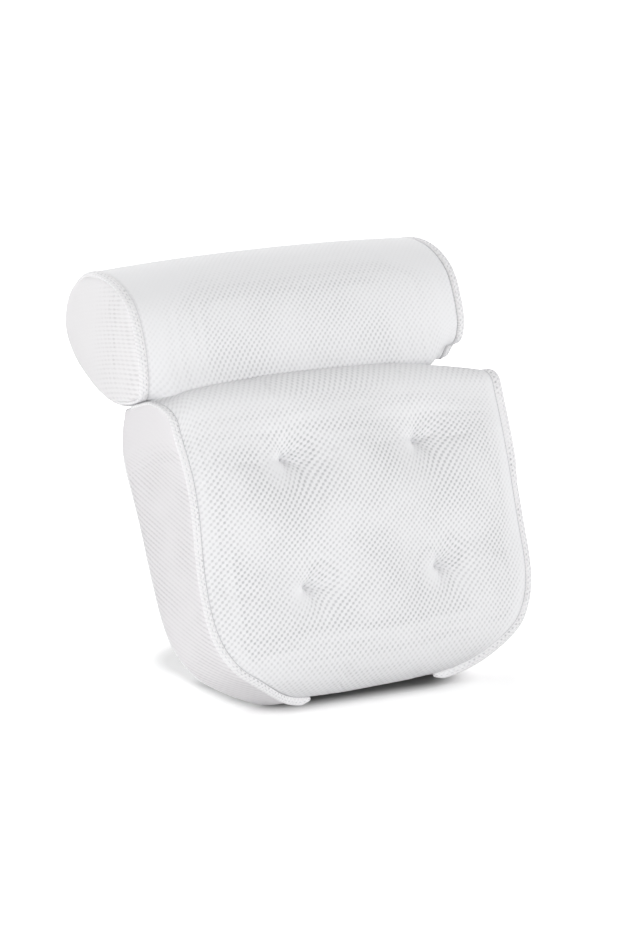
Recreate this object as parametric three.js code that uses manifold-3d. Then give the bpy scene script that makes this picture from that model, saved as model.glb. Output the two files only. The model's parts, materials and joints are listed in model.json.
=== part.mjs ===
// Bath pillow in two pads: a thick panel for the shoulders and a head roll sewn to its top edge.
// The pads stand leaning back, as they do against the sloping end of a bath.
// Inside the pillow, x runs across, y from the face to the back and z up along the face.
// The origin is in the plane of the four suction cups behind the panel, midway between them.
// Units are millimetres, with +Z up and the face towards -Y.
import * as THREE from 'three';
import { mergeVertices } from 'three/addons/utils/BufferGeometryUtils.js';
import Module from 'manifold-3d';

// Fabric, seams and the way the pillow leans
const fabric = 3;
const seamGap = 0.3;
const mitreGap = 0.45;
const recline = THREE.MathUtils.degToRad(16.8);

// Panel outline, seen from the front
const panelWidth = 340;
const panelHeight = 269;
const cornerRadius = 103;
const sideDrawIn = 2.5;

// Panel seam lines, seen from the side
const footDepth = 25;
const footCurlHeight = 70;
const seamBow = 5;
const topEdgeRadius = 15;
const backFootDepth = 64;
const humpRise = 66;
const backFlatDepth = 91;
const humpReach = 33;
const humpRunInDepth = 12;
const humpRunInHeight = 16;
const backTopDrop = 3;

// Stuffing of the panel: how far its faces stand out of the seam lines
const faceCrown = 18;
const topCrown = 4;
const footCrown = 2;
const gussetBulge = 3;

// Shares of the face's rise at which the crown is full and at which it starts to sink again
const crownFullShare = 0.42;
const crownSinkShare = 0.6;

// Powers that shape the slopes of the stuffing and the curl of the foot
const sideSlopePower = 3;
const topSlopePower = 1.6;
const tuftSlopePower = 1.5;
const footCurlPower = 3;

// Sewn tufts
const tuftSide = 71;
const tuftLow = 92;
const tuftDrop = 66;
const tuftDepth = 18;
const tuftReach = 19;
const tieRadius = 1.2;
const tackRadius = 2.6;
const tackSink = 1.2;
const tackProud = 0.8;
const tackWaistShare = 0.4;
const tackCrownShare = 0.7;

// Fold between the pads
const foldDepth = 68;
const foldInset = 11;
const foldBeadRadius = 3;
const foldWebThickness = 2.4;
const foldWebTuck = 7;

// Head roll
const rollInset = 2;
const rollDepth = 111;
const rollHeight = 115;
const rollCrown = 8;
const rollEndPuff = 11;

// Welts, the topstitched edges that stand out along the seams, and the flat cloth left beside them
const weltWidth = 8;
const weltThickness = 3;
const weltTip = 3;
const weltTipShare = 0.45;
const weltSeat = 4;
const weltSeatShare = 0.3;

// Section of a welt as shares of its thickness and width
const weltSectionShares = [
  [0, 0],
  [0, 0.8],
  [0.3, 1],
  [0.7, 1],
  [1, 0.8],
  [1, 0],
];

// Suction cups, with the round patches that they button into
const cupRadius = 25;
const cupHeight = 12;
const cupRimWidth = 2.5;
const cupHollow = 2.5;
const cupBossRadius = 9;
const cupNeckRadius = 4;
const cupHeadRadius = 8;
const cupHeadThickness = 3;
const cupPlay = 0.5;
const patchRadius = 17;
const patchThickness = 1.2;
const cupSide = 98;
const cupLow = 62;
const cupDrop = 83;
const rollCupSide = 96;

// Places on the bell of a cup as shares of its radius and height, outside and inside
const cupBossShare = 0.3;
const cupBellShares = [0.8, 0.68];
const cupLipShare = 0.5;
const cupHollowShares = [0.5, 0.8];

// Section of the roll as shares of its depth and height, starting at the sewn tip
const rollSectionShares = [
  [0, 0],
  [-0.215, 0.085],
  [-0.297, 0.22],
  [-0.342, 0.434],
  [-0.288, 0.683],
  [-0.09, 0.897],
  [0.216, 1],
  [0.495, 0.897],
  [0.64, 0.665],
  [0.586, 0.434],
  [0.378, 0.185],
  [0.162, 0.044],
];
const rollCupShare = 0.808;
const rollCentreShares = [0.14, 0.52];

// Steps of the surfaces
const cornerSteps = 7;
const tuftRowSteps = 8;
const edgeSteps = 3;
const bendSteps = 3;
const topSteps = 4;
const tuftColumnSteps = 3;
const sideColumnSteps = 5;
const sideColumnPower = 1.4;
const throughSteps = 3;
const gussetSteps = 3;
const rollSectionSteps = 26;
const rollSteps = 8;
const capRingShares = [0.72, 0.38];
const beadSteps = 5;
const tieSteps = 8;
const roundSteps = 16;

// Cuts run this far past the face that they open
const cutOverrun = 2;

const halfWidth = panelWidth / 2;
const cornerCentre = halfWidth - cornerRadius;
const topRise = panelHeight - topEdgeRadius;
const backFlatHeight = panelHeight - humpRise;
const tuftHigh = panelHeight - tuftDrop;
const cupHigh = panelHeight - cupDrop;
const foldHeight = panelHeight + foldBeadRadius + seamGap;
const rollTipHeight = foldHeight + foldBeadRadius + seamGap;
const halfRoll = halfWidth - rollInset;
const foldLength = 2 * (halfRoll - foldInset);
const lining = fabric + seamGap;
const cupShoulder = patchThickness + 2 * seamGap;
const hands = [['left', -1], ['right', 1]];

const wasm = await Module();
wasm.setup();

// Materials, one for each kind of cloth or plastic
const meshCloth = new THREE.MeshStandardMaterial({ color: 0xf1f1f2, roughness: 0.9, metalness: 0 });
const ribbedCloth = new THREE.MeshStandardMaterial({ color: 0xeeecee, roughness: 0.92, metalness: 0 });
const weltCloth = new THREE.MeshStandardMaterial({ color: 0xf4f3f4, roughness: 0.88, metalness: 0 });
const threadCloth = new THREE.MeshStandardMaterial({ color: 0xe2e2e4, roughness: 0.8, metalness: 0 });
const wadding = new THREE.MeshStandardMaterial({ color: 0xf8f8f6, roughness: 1, metalness: 0 });
const clearRubber = new THREE.MeshStandardMaterial({ color: 0xdfe5e8, roughness: 0.25, metalness: 0 });

// Signed volume of a triangle mesh, positive where its faces point out
function signedVolume(points, faces) {
  let volume = 0;
  for (const [a, b, c] of faces) {
    const cross = new THREE.Vector3().crossVectors(points[b], points[c]);
    volume += points[a].dot(cross) / 6;
  }
  return volume;
}

// Closed body from points and triangles, turned so that its faces point out
function bodyOf(points, faces) {
  const outward = signedVolume(points, faces) > 0;
  const order = outward ? faces : faces.map(([a, b, c]) => [a, c, b]);
  const geometry = new THREE.BufferGeometry();
  const places = points.flatMap((point) => [point.x, point.y, point.z]);
  geometry.setAttribute('position', new THREE.Float32BufferAttribute(places, 3));
  geometry.setIndex(order.flat());
  return geometry;
}

// Skin through rings of equally many points; the row of rings closes on itself or ends in fans
function skin(rings, options = {}) {
  const count = rings[0].length;
  const points = rings.flat();
  const faces = [];
  const links = options.loop ? rings.length : rings.length - 1;
  for (let i = 0; i < links; i += 1) {
    const here = i * count;
    const next = ((i + 1) % rings.length) * count;
    for (let j = 0; j < count; j += 1) {
      const k = (j + 1) % count;
      faces.push([here + j, next + j, next + k]);
      faces.push([here + j, next + k, here + k]);
    }
  }
  if (!options.loop) {
    const last = (rings.length - 1) * count;
    points.push(options.startApex ?? middleOf(rings[0]));
    points.push(options.endApex ?? middleOf(rings[rings.length - 1]));
    const start = points.length - 2;
    for (let j = 0; j < count; j += 1) {
      const k = (j + 1) % count;
      faces.push([start, j, k]);
      faces.push([start + 1, last + k, last + j]);
    }
  }
  return bodyOf(points, faces);
}

function middleOf(ring) {
  const sum = ring.reduce((total, point) => total.add(point), new THREE.Vector3());
  return sum.divideScalar(ring.length);
}

// Closed sheet between two grids of points, the outer and the inner face of a cloth
function sheet(outer, inner) {
  const rows = outer.length;
  const columns = outer[0].length;
  const points = [...outer.flat(), ...inner.flat()];
  const shift = rows * columns;
  const faces = [];
  const quad = (a, b, c, d) => faces.push([a, b, c], [a, c, d]);
  for (let r = 0; r < rows - 1; r += 1) {
    for (let c = 0; c < columns - 1; c += 1) {
      const a = r * columns + c;
      quad(a, a + 1, a + columns + 1, a + columns);
      quad(shift + a, shift + a + columns, shift + a + columns + 1, shift + a + 1);
    }
  }
  for (let r = 0; r < rows - 1; r += 1) {
    const a = r * columns;
    const b = a + columns - 1;
    quad(a, a + columns, shift + a + columns, shift + a);
    quad(b, shift + b, shift + b + columns, b + columns);
  }
  for (let c = 0; c < columns - 1; c += 1) {
    const a = (rows - 1) * columns + c;
    quad(c, shift + c, shift + c + 1, c + 1);
    quad(a, a + 1, shift + a + 1, shift + a);
  }
  return bodyOf(points, faces);
}

// Solid for cutting, from any closed geometry
function solidOf(geometry) {
  const bare = geometry.clone();
  bare.deleteAttribute('normal');
  bare.deleteAttribute('uv');
  const merged = mergeVertices(bare);
  const triVerts = Uint32Array.from(merged.index.array);
  const vertProperties = Float32Array.from(merged.attributes.position.array);
  return new wasm.Manifold(new wasm.Mesh({ numProp: 3, vertProperties, triVerts }));
}

function geometryOf(solid) {
  const mesh = solid.getMesh();
  const geometry = new THREE.BufferGeometry();
  geometry.setAttribute('position', new THREE.BufferAttribute(mesh.vertProperties, 3));
  geometry.setIndex(new THREE.BufferAttribute(mesh.triVerts, 1));
  return geometry;
}

function cut(geometry, cutters) {
  return geometryOf(cutters.reduce((solid, cutter) => solid.subtract(solidOf(cutter)), solidOf(geometry)));
}

// Front seam depth at a height: it curls back at the foot and bows forward above the corners
function frontDepthAt(height) {
  const curl = Math.max(0, 1 - height / footCurlHeight);
  const bow = Math.max(0, (height - cornerRadius) / (panelHeight - cornerRadius));
  return footDepth * curl ** footCurlPower - seamBow * Math.sin(Math.PI * bow) ** 2;
}

// Back of the panel, flat up to backFlatHeight
function backDepthAt(height) {
  return backFootDepth + ((backFlatDepth - backFootDepth) * height) / backFlatHeight;
}

// Half width of the panel at a height, drawn in between the bottom corner and the top
function halfWidthAt(height) {
  const rise = (height - cornerRadius) / (panelHeight - cornerRadius);
  if (rise >= 0) return halfWidth - sideDrawIn * Math.sin(Math.PI * Math.min(rise, 1)) ** 2;
  return cornerCentre + Math.sqrt(cornerRadius ** 2 - (cornerRadius - height) ** 2);
}

// Curve of the back from its flat part over the hump to the fold
function humpCurve() {
  const lean = new THREE.Vector2(backFlatDepth - backFootDepth, backFlatHeight).normalize();
  const start = new THREE.Vector2(backFlatDepth, backFlatHeight);
  const end = new THREE.Vector2(foldDepth + foldWebThickness / 2 + lining, panelHeight - backTopDrop);
  const rising = start.clone().addScaledVector(lean, humpReach);
  const closing = new THREE.Vector2(end.x + humpRunInDepth, end.y - humpRunInHeight);
  return new THREE.CubicBezierCurve(start, rising, closing, end);
}

// Side of a profile line that faces out, at each of its points
function outwardNormals(line, sign) {
  return line.map((point, i) => {
    const before = line[Math.max(i - 1, 0)];
    const after = line[Math.min(i + 1, line.length - 1)];
    const run = after.clone().sub(before).normalize();
    return new THREE.Vector2(-run.y * sign, run.x * sign);
  });
}

// Rows of the panel from the foot to the fold, each with its front and back seam point
function panelStations() {
  const cornerEnd = Math.asin((tuftLow - cornerRadius) / cornerRadius);
  const front = [];
  const back = [];
  const corner = [];
  for (let i = 0; i <= cornerSteps; i += 1) {
    const angle = THREE.MathUtils.lerp(-Math.PI / 2, cornerEnd, i / cornerSteps);
    const height = cornerRadius * (1 + Math.sin(angle));
    front.push(new THREE.Vector2(frontDepthAt(height), height));
    back.push(new THREE.Vector2(backDepthAt(height), height));
    corner.push(Math.min(angle, 0));
  }
  for (let i = 1; i <= tuftRowSteps; i += 1) {
    const height = THREE.MathUtils.lerp(tuftLow, tuftHigh, i / tuftRowSteps);
    const backHeight = THREE.MathUtils.lerp(tuftLow, backFlatHeight, i / tuftRowSteps);
    front.push(new THREE.Vector2(frontDepthAt(height), height));
    back.push(new THREE.Vector2(backDepthAt(backHeight), backHeight));
  }
  for (let i = 1; i <= edgeSteps; i += 1) {
    const height = THREE.MathUtils.lerp(tuftHigh, topRise, i / edgeSteps);
    front.push(new THREE.Vector2(frontDepthAt(height), height));
  }
  const bendDepth = frontDepthAt(topRise) + topEdgeRadius;
  for (let i = 1; i <= bendSteps; i += 1) {
    const turn = (Math.PI / 2) * (i / bendSteps);
    const depth = bendDepth - topEdgeRadius * Math.cos(turn);
    front.push(new THREE.Vector2(depth, topRise + topEdgeRadius * Math.sin(turn)));
  }
  const topEnd = foldDepth - foldWebThickness / 2 - seamGap;
  for (let i = 1; i <= topSteps; i += 1) {
    front.push(new THREE.Vector2(THREE.MathUtils.lerp(bendDepth, topEnd, i / topSteps), panelHeight));
  }
  const hump = humpCurve();
  const humpSteps = edgeSteps + bendSteps + topSteps;
  for (let i = 1; i <= humpSteps; i += 1) back.push(hump.getPoint(i / humpSteps));
  const frontOut = outwardNormals(front, 1);
  const backOut = outwardNormals(back, -1);
  return front.map((point, i) => {
    const angle = corner[i] ?? 0;
    const inCorner = i < corner.length;
    return {
      front: point,
      back: back[i],
      frontIn: inCorner ? new THREE.Vector2(1, 0) : frontOut[i].clone().negate(),
      backIn: inCorner ? new THREE.Vector2(-1, 0) : backOut[i].clone().negate(),
      frontOut: frontOut[i],
      lift: -Math.sin(angle),
      sideways: Math.cos(angle),
      frontHalf: halfWidthAt(point.y),
      backHalf: halfWidthAt(back[i].y),
    };
  });
}

const stations = panelStations();
const lastStation = stations.length - 1;
const bendStation = cornerSteps + tuftRowSteps + edgeSteps;
const fillingEndRow = lastStation - 2;

// Places across the panel as shares of its half width, with a column through each tuft
function acrossShares() {
  const tuftShare = tuftSide / halfWidth;
  const shares = [0];
  for (let i = 1; i <= tuftColumnSteps; i += 1) shares.push((tuftShare * i) / tuftColumnSteps);
  for (let i = 1; i <= sideColumnSteps; i += 1) {
    const rest = (1 - i / sideColumnSteps) ** sideColumnPower;
    shares.push(1 - (1 - tuftShare) * rest);
  }
  const left = shares.slice(1).map((share) => -share).reverse();
  return [...left, ...shares];
}

// Height of the crown along the middle of the cover, at a row
function crownAt(row) {
  if (row <= bendStation) {
    const rise = stations[row].front.y / topRise;
    const up = Math.min(1, rise / crownFullShare);
    const low = THREE.MathUtils.lerp(footCrown, faceCrown, Math.sin((Math.PI / 2) * up));
    const down = THREE.MathUtils.smoothstep(rise, crownSinkShare, 1);
    return THREE.MathUtils.lerp(low, topCrown, down);
  }
  const run = Math.max(0, row - bendStation - bendSteps) / topSteps;
  return topCrown * (1 - run ** topSlopePower);
}

// How far the tufts pull the face in at a place on it
function tuftPull(x, height) {
  let pull = 0;
  for (const side of [-tuftSide, tuftSide]) {
    for (const level of [tuftLow, tuftHigh]) {
      const away = Math.hypot(x - side, height - level);
      pull += tuftDepth * Math.exp(-((away / tuftReach) ** tuftSlopePower));
    }
  }
  return pull;
}

// Place across the panel, kept in from the gusset by an inset
function acrossAt(share, half, inset) {
  return Math.sign(share) * Math.min(Math.abs(share) * half, half - inset);
}

// Point at an inset below the outer face of the front cover
function frontPoint(row, share, inset) {
  const station = stations[row];
  const x = acrossAt(share, station.frontHalf, inset * station.sideways);
  const pull = tuftPull(share * station.frontHalf, station.front.y);
  const swell = crownAt(row) * (1 - Math.abs(share) ** sideSlopePower) - pull;
  const depth = station.front.x + station.frontIn.x * inset + station.frontOut.x * swell;
  const height = station.front.y + station.frontIn.y * inset + station.frontOut.y * swell;
  return new THREE.Vector3(x, depth, height + station.lift * inset);
}

// Point at an inset below the outer face of the back cover, and a lift above the outside of the foot
function backPoint(row, share, inset, lift = inset) {
  const station = stations[row];
  const x = acrossAt(share, station.backHalf, inset * station.sideways);
  const depth = station.back.x + station.backIn.x * inset;
  const height = station.back.y + station.backIn.y * inset + station.lift * lift;
  return new THREE.Vector3(x, depth, height);
}

// Front cover: face, top and the tongue that runs back under the foot
function frontCoverSurface(inset) {
  const shares = acrossShares();
  const rows = [];
  for (let i = throughSteps; i >= 1; i -= 1) {
    rows.push(shares.map((share) => {
      const far = backPoint(0, share, inset + mitreGap, inset);
      return frontPoint(0, share, inset).lerp(far, i / throughSteps);
    }));
  }
  for (let row = 0; row <= lastStation; row += 1) {
    rows.push(shares.map((share) => frontPoint(row, share, inset)));
  }
  return rows;
}

// Back cover, flat where it lies against the bath
function backCoverSurface(inset) {
  return stations.map((station, row) => [-1, 1].map((share) => backPoint(row, share, inset)));
}

// Stuffing of the panel, a fitted block of wadding that stops short of the fold
function panelFillingGeometry() {
  const shares = acrossShares();
  const rings = [];
  for (let row = 0; row <= fillingEndRow; row += 1) {
    const front = shares.map((share) => frontPoint(row, share, lining));
    const back = [1, -1].map((share) => backPoint(row, share, lining));
    rings.push([...front, ...back]);
  }
  return skin(rings);
}

// Point of a gusset, a share of the way from the front seam to the back seam; its edges are mitred
function gussetPoint(row, side, through, out, inset) {
  const station = stations[row];
  const near = station.front.clone().addScaledVector(station.frontIn, inset + mitreGap);
  const far = station.back.clone().addScaledVector(station.backIn, inset + mitreGap);
  const middle = near.lerp(far, through);
  const half = THREE.MathUtils.lerp(station.frontHalf, station.backHalf, through);
  const x = side * (half + out * station.sideways);
  return new THREE.Vector3(x, middle.x, middle.y - station.lift * out);
}

// Rows of a gusset, puffed between its welts; the first stands clear of the tongue's edge
function gussetSurface(side, inset) {
  return stations.map((station, row) => {
    const span = station.front.distanceTo(station.back) - 2 * lining;
    const edge = Math.min(weltSeat / span, weltSeatShare);
    const shares = [0, edge];
    for (let i = 1; i < gussetSteps; i += 1) {
      shares.push(THREE.MathUtils.lerp(edge, 1 - edge, i / gussetSteps));
    }
    shares.push(1 - edge, 1);
    return shares.map((share) => {
      const puff = Math.max(0, Math.sin((Math.PI * (share - edge)) / (1 - 2 * edge)));
      const fade = THREE.MathUtils.clamp(Math.min(row, bendStation + bendSteps - row) / bendSteps, 0, 1);
      const point = gussetPoint(row, side, share, gussetBulge * fade * puff - inset, inset);
      if (row === 0) point.x += side * seamGap;
      return point;
    });
  });
}

// Section of a welt: across the seam, and up from the cloth that it stands on
function weltSection() {
  return weltSectionShares.map(([across, up]) => [weltThickness * across, seamGap + weltWidth * up]);
}

// Welt ring at a row, beside the front or the back seam of a gusset
function panelWeltRing(row, side, atBack) {
  const station = stations[row];
  const seam = atBack ? station.back : station.front;
  const inwards = atBack ? station.backIn : station.frontIn;
  const half = atBack ? station.backHalf : station.frontHalf;
  return weltSection().map(([across, up]) => {
    const place = seam.clone().addScaledVector(inwards, across);
    const x = side * (half + up * station.sideways);
    return new THREE.Vector3(x, place.x, place.y - station.lift * up);
  });
}

// Narrowed ring that rounds off the end of a welt
function weltEnd(ring, towards) {
  const middle = middleOf(ring);
  const step = towards.clone().sub(middle).setLength(weltTip);
  return ring.map((point) => point.clone().lerp(middle, weltTipShare).sub(step));
}

function panelWeltGeometry(side, atBack) {
  const rings = [];
  const last = atBack ? lastStation : lastStation - 1;
  for (let row = 0; row <= last; row += 1) rings.push(panelWeltRing(row, side, atBack));
  const first = weltEnd(rings[0], middleOf(rings[1]));
  return skin([first, ...rings]);
}

// Strip along the valley: a sewn bead on the fold line, and the web below it between the covers
function foldWebGeometry() {
  const halfWeb = foldWebThickness / 2;
  const meet = Math.asin(halfWeb / foldBeadRadius);
  const webEnd = panelHeight - foldHeight - foldWebTuck;
  const outline = new THREE.Shape();
  outline.moveTo(halfWeb, webEnd);
  outline.absarc(0, 0, foldBeadRadius, -Math.PI / 2 + meet, 1.5 * Math.PI - meet, false);
  outline.lineTo(-halfWeb, webEnd);
  outline.closePath();
  const run = { depth: foldLength, bevelEnabled: false, curveSegments: beadSteps };
  const strip = new THREE.ExtrudeGeometry(outline, run);
  strip.rotateX(Math.PI / 2);
  strip.rotateZ(Math.PI / 2);
  strip.translate(-foldLength / 2, foldDepth, foldHeight);
  return strip;
}

// Section curve of the roll, in depth and height from its tip
function rollCurve() {
  const points = rollSectionShares.map(([deep, high]) => {
    return new THREE.Vector3(deep * rollDepth, high * rollHeight, 0);
  });
  return new THREE.CatmullRomCurve3(points, true, 'centripetal');
}

const rollLine = rollCurve().getSpacedPoints(rollSectionSteps).slice(0, rollSectionSteps);
const rollCentre = new THREE.Vector2(rollCentreShares[0] * rollDepth, rollCentreShares[1] * rollHeight);

// Section of the roll, drawn in by an inset square to its own line
function rollSection(inset) {
  return rollLine.map((point, i) => {
    const before = rollLine[(i + rollSectionSteps - 1) % rollSectionSteps];
    const after = rollLine[(i + 1) % rollSectionSteps];
    const run = after.clone().sub(before).normalize();
    const inwards = new THREE.Vector2(-run.y, run.x);
    const middle = rollCentre.clone().sub(new THREE.Vector2(point.x, point.y));
    if (inwards.dot(middle) < 0) inwards.negate();
    return new THREE.Vector2(point.x + inwards.x * inset, point.y + inwards.y * inset);
  });
}

// Place in the pillow of a point of the roll's section; the roll is fuller in its middle
function rollPoint(x, section) {
  const swell = 1 + (rollCrown / rollHeight) * (1 - Math.min(1, Math.abs(x) / halfRoll) ** 2);
  return new THREE.Vector3(x, foldDepth + section.x * swell, rollTipHeight + section.y * swell);
}

function rollRings(inset) {
  const section = rollSection(inset);
  const rings = [];
  for (let i = 0; i <= rollSteps; i += 1) {
    const x = THREE.MathUtils.lerp(-halfRoll, halfRoll, i / rollSteps);
    rings.push(section.map((point) => rollPoint(x, point)));
  }
  return rings;
}

function rollSleeveGeometry() {
  return skin([...rollRings(0), ...rollRings(fabric).reverse()], { loop: true });
}

// Rings of an end cap from its rim to its middle, puffed out by the stuffing behind it
function capRings(side, inset, out) {
  const rim = rollSection(inset);
  const shoulder = rollSection(weltSeat);
  const ringAt = (line, puff) => line.map((point) => rollPoint(side * (halfRoll + out + puff), point));
  const rings = [ringAt(rim, 0), ringAt(shoulder, 0)];
  for (const share of capRingShares) {
    const line = shoulder.map((point) => rollCentre.clone().lerp(point, share));
    rings.push(ringAt(line, rollEndPuff * (1 - share ** 2)));
  }
  return rings;
}

function capApex(side, out) {
  return rollPoint(side * (halfRoll + out + rollEndPuff), rollCentre);
}

function rollEndGeometry(side) {
  const outer = capRings(side, 0, lining).reverse();
  const inner = capRings(side, 0, seamGap);
  return skin([...outer, ...inner], { startApex: capApex(side, lining), endApex: capApex(side, seamGap) });
}

// Stuffing of the roll, with ends that fill the puffed caps
function rollFillingGeometry() {
  const left = capRings(-1, lining, 0).reverse();
  const right = capRings(1, lining, 0);
  const rings = [...left.slice(0, -1), ...rollRings(lining), ...right.slice(1)];
  return skin(rings, { startApex: capApex(-1, 0), endApex: capApex(1, 0) });
}

function rollWeltGeometry(side) {
  const base = halfRoll + lining;
  const sections = weltSection();
  const lines = sections.map(([across]) => rollSection(across));
  const rings = rollLine.map((point, i) => {
    return sections.map(([, up], j) => rollPoint(side * (base + up), lines[j][i]));
  });
  return skin(rings, { loop: true });
}

// Turned body standing on a seat: its axis leaves the seat along a direction
function placed(geometry, seat, direction) {
  const turn = new THREE.Quaternion().setFromUnitVectors(new THREE.Vector3(0, 1, 0), direction);
  geometry.applyQuaternion(turn);
  geometry.translate(seat.x, seat.y, seat.z);
  return geometry;
}

// Suction cup: button head behind the cloth, neck, boss, and a shallow bell with a flat rim
function cupGeometry() {
  const rim = cupShoulder + cupHeight;
  const headTop = -fabric - cupPlay;
  const headBase = headTop - cupHeadThickness;
  const innerRim = cupRadius - cupRimWidth;
  const profile = [
    [0, headBase],
    [cupHeadRadius, headBase],
    [cupHeadRadius, headTop],
    [cupNeckRadius, headTop],
    [cupNeckRadius, cupShoulder],
    [cupBossRadius, cupShoulder],
    [cupBossRadius, cupShoulder + cupHeight * cupBossShare],
    [cupRadius * cupBellShares[0], cupShoulder + cupHeight * cupBellShares[1]],
    [cupRadius, rim - cupRimWidth * cupLipShare],
    [cupRadius, rim],
    [innerRim, rim],
    [innerRim * cupHollowShares[0], rim - cupHollow * cupHollowShares[1]],
    [0, rim - cupHollow],
  ];
  return new THREE.LatheGeometry(profile.map(([r, h]) => new THREE.Vector2(r, h)), roundSteps);
}

// Room that the head and neck of a cup take in the cloth and in the stuffing
function cupPocketGeometry() {
  const headTop = -fabric - cupPlay;
  const headBase = headTop - cupHeadThickness - cupPlay;
  const profile = [
    [0, headBase],
    [cupHeadRadius + cupPlay, headBase],
    [cupHeadRadius + cupPlay, -fabric],
    [cupNeckRadius + cupPlay, -fabric],
    [cupNeckRadius + cupPlay, cutOverrun],
    [0, cutOverrun],
  ];
  return new THREE.LatheGeometry(profile.map(([r, h]) => new THREE.Vector2(r, h)), roundSteps);
}

function patchGeometry() {
  const bore = cupNeckRadius + cupPlay;
  const profile = [
    [bore, seamGap],
    [patchRadius, seamGap],
    [patchRadius, seamGap + patchThickness],
    [bore, seamGap + patchThickness],
    [bore, seamGap],
  ];
  return new THREE.LatheGeometry(profile.map(([r, h]) => new THREE.Vector2(r, h)), roundSteps);
}

// Seats of the four cups behind the panel
function panelCupSeats() {
  const lean = new THREE.Vector2(backFlatDepth - backFootDepth, backFlatHeight).normalize();
  const direction = new THREE.Vector3(0, lean.y, -lean.x);
  const seats = [];
  for (const [level, height] of [['lower', cupLow], ['upper', cupHigh]]) {
    for (const [hand, side] of hands) {
      const seat = new THREE.Vector3(side * cupSide, backDepthAt(height), height);
      seats.push({ name: `${level}_${hand}`, seat, direction });
    }
  }
  return seats;
}

// Highest point of the roll's cloth above a plane, within the reach of a patch
function clothRise(seat, direction) {
  let rise = 0;
  for (const ring of rollRings(0)) {
    for (const point of ring) {
      const away = point.clone().sub(seat);
      const up = away.dot(direction);
      const across = Math.sqrt(Math.max(0, away.lengthSq() - up ** 2));
      if (across < patchRadius) rise = Math.max(rise, up);
    }
  }
  return rise;
}

// Seats of the two cups low on the back of the roll
function rollCupSeats() {
  const curve = rollCurve();
  const place = curve.getPointAt(rollCupShare);
  const run = curve.getTangentAt(rollCupShare);
  const direction = new THREE.Vector3(0, run.y, -run.x);
  if (direction.z > 0) direction.negate();
  return hands.map(([hand, side]) => {
    const seat = rollPoint(side * rollCupSide, place);
    seat.addScaledVector(direction, clothRise(seat, direction));
    return { name: `roll_${hand}`, seat, direction };
  });
}

// Tie of a tuft: thread through the panel with a bar tack at each end
function tieGeometry(front, back, room) {
  const profile = [
    [0, front - tackProud - room],
    [(tackRadius + room) * tackCrownShare, front - tackProud - room],
    [tackRadius + room, front - room],
    [tackRadius + room, front + tackSink * tackWaistShare],
    [tieRadius + room, front + tackSink + room],
    [tieRadius + room, back - tackSink - room],
    [tackRadius + room, back - tackSink * tackWaistShare],
    [tackRadius + room, back + room],
    [(tackRadius + room) * tackCrownShare, back + tackProud + room],
    [0, back + tackProud + room],
  ];
  return new THREE.LatheGeometry(profile.map(([r, h]) => new THREE.Vector2(r, h)), tieSteps);
}

function tuftPlaces() {
  const places = [];
  for (const [level, height, row] of [
    ['lower', tuftLow, cornerSteps],
    ['upper', tuftHigh, cornerSteps + tuftRowSteps],
  ]) {
    for (const [hand, side] of hands) {
      const station = stations[row];
      const share = tuftSide / station.frontHalf;
      const front = frontPoint(row, side * share, 0).y;
      places.push({ name: `${level}_${hand}`, x: side * tuftSide, height, front, back: backDepthAt(height) });
    }
  }
  return places;
}

function tuftTie(place, room) {
  const tie = tieGeometry(place.front, place.back, room);
  tie.translate(place.x, 0, place.height);
  return tie;
}

// Assembly
const pillow = new THREE.Group();

function add(name, geometry, material) {
  const mesh = new THREE.Mesh(geometry, material);
  mesh.name = name;
  pillow.add(mesh);
}

const tufts = tuftPlaces();
const tuftCuts = tufts.map((place) => tuftTie(place, seamGap));
const panelCups = panelCupSeats();
const panelPockets = panelCups.map(({ seat, direction }) => placed(cupPocketGeometry(), seat, direction));
const rollCups = rollCupSeats();
const rollPockets = rollCups.map(({ seat, direction }) => placed(cupPocketGeometry(), seat, direction));

const frontCover = sheet(frontCoverSurface(0), frontCoverSurface(fabric));
add('panel_front_cover', cut(frontCover, tuftCuts), meshCloth);

const backCover = sheet(backCoverSurface(0), backCoverSurface(fabric));
add('panel_back_cover', cut(backCover, [...tuftCuts, ...panelPockets]), meshCloth);

for (const [hand, side] of hands) {
  add(`panel_${hand}_gusset`, sheet(gussetSurface(side, 0), gussetSurface(side, fabric)), ribbedCloth);
  add(`panel_${hand}_front_welt`, panelWeltGeometry(side, false), weltCloth);
  add(`panel_${hand}_back_welt`, panelWeltGeometry(side, true), weltCloth);
}

add('panel_filling', cut(panelFillingGeometry(), [...tuftCuts, ...panelPockets]), wadding);
for (const place of tufts) add(`tuft_tie_${place.name}`, tuftTie(place, 0), threadCloth);

add('fold_web', foldWebGeometry(), weltCloth);
add('roll_sleeve', cut(rollSleeveGeometry(), rollPockets), meshCloth);
add('roll_filling', cut(rollFillingGeometry(), rollPockets), wadding);
for (const [hand, side] of hands) {
  add(`roll_${hand}_end`, rollEndGeometry(side), ribbedCloth);
  add(`roll_${hand}_welt`, rollWeltGeometry(side), weltCloth);
}

for (const { name, seat, direction } of [...panelCups, ...rollCups]) {
  add(`cup_patch_${name}`, placed(patchGeometry(), seat, direction), weltCloth);
  add(`suction_cup_${name}`, placed(cupGeometry(), seat, direction), clearRubber);
}

// The origin lies in the plane of the panel's cup rims, and the pillow leans back about it
function wallPoint() {
  const [first] = panelCups;
  const height = (cupLow + cupHigh) / 2;
  const reach = cupShoulder + cupHeight;
  return new THREE.Vector3(0, backDepthAt(height), height).addScaledVector(first.direction, reach);
}

pillow.rotation.x = -recline;
pillow.position.copy(wallPoint().applyEuler(pillow.rotation).negate());

export default pillow;
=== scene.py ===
import json
import math

import bmesh
import bpy
import numpy as np
from mathutils import Matrix, Vector

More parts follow.
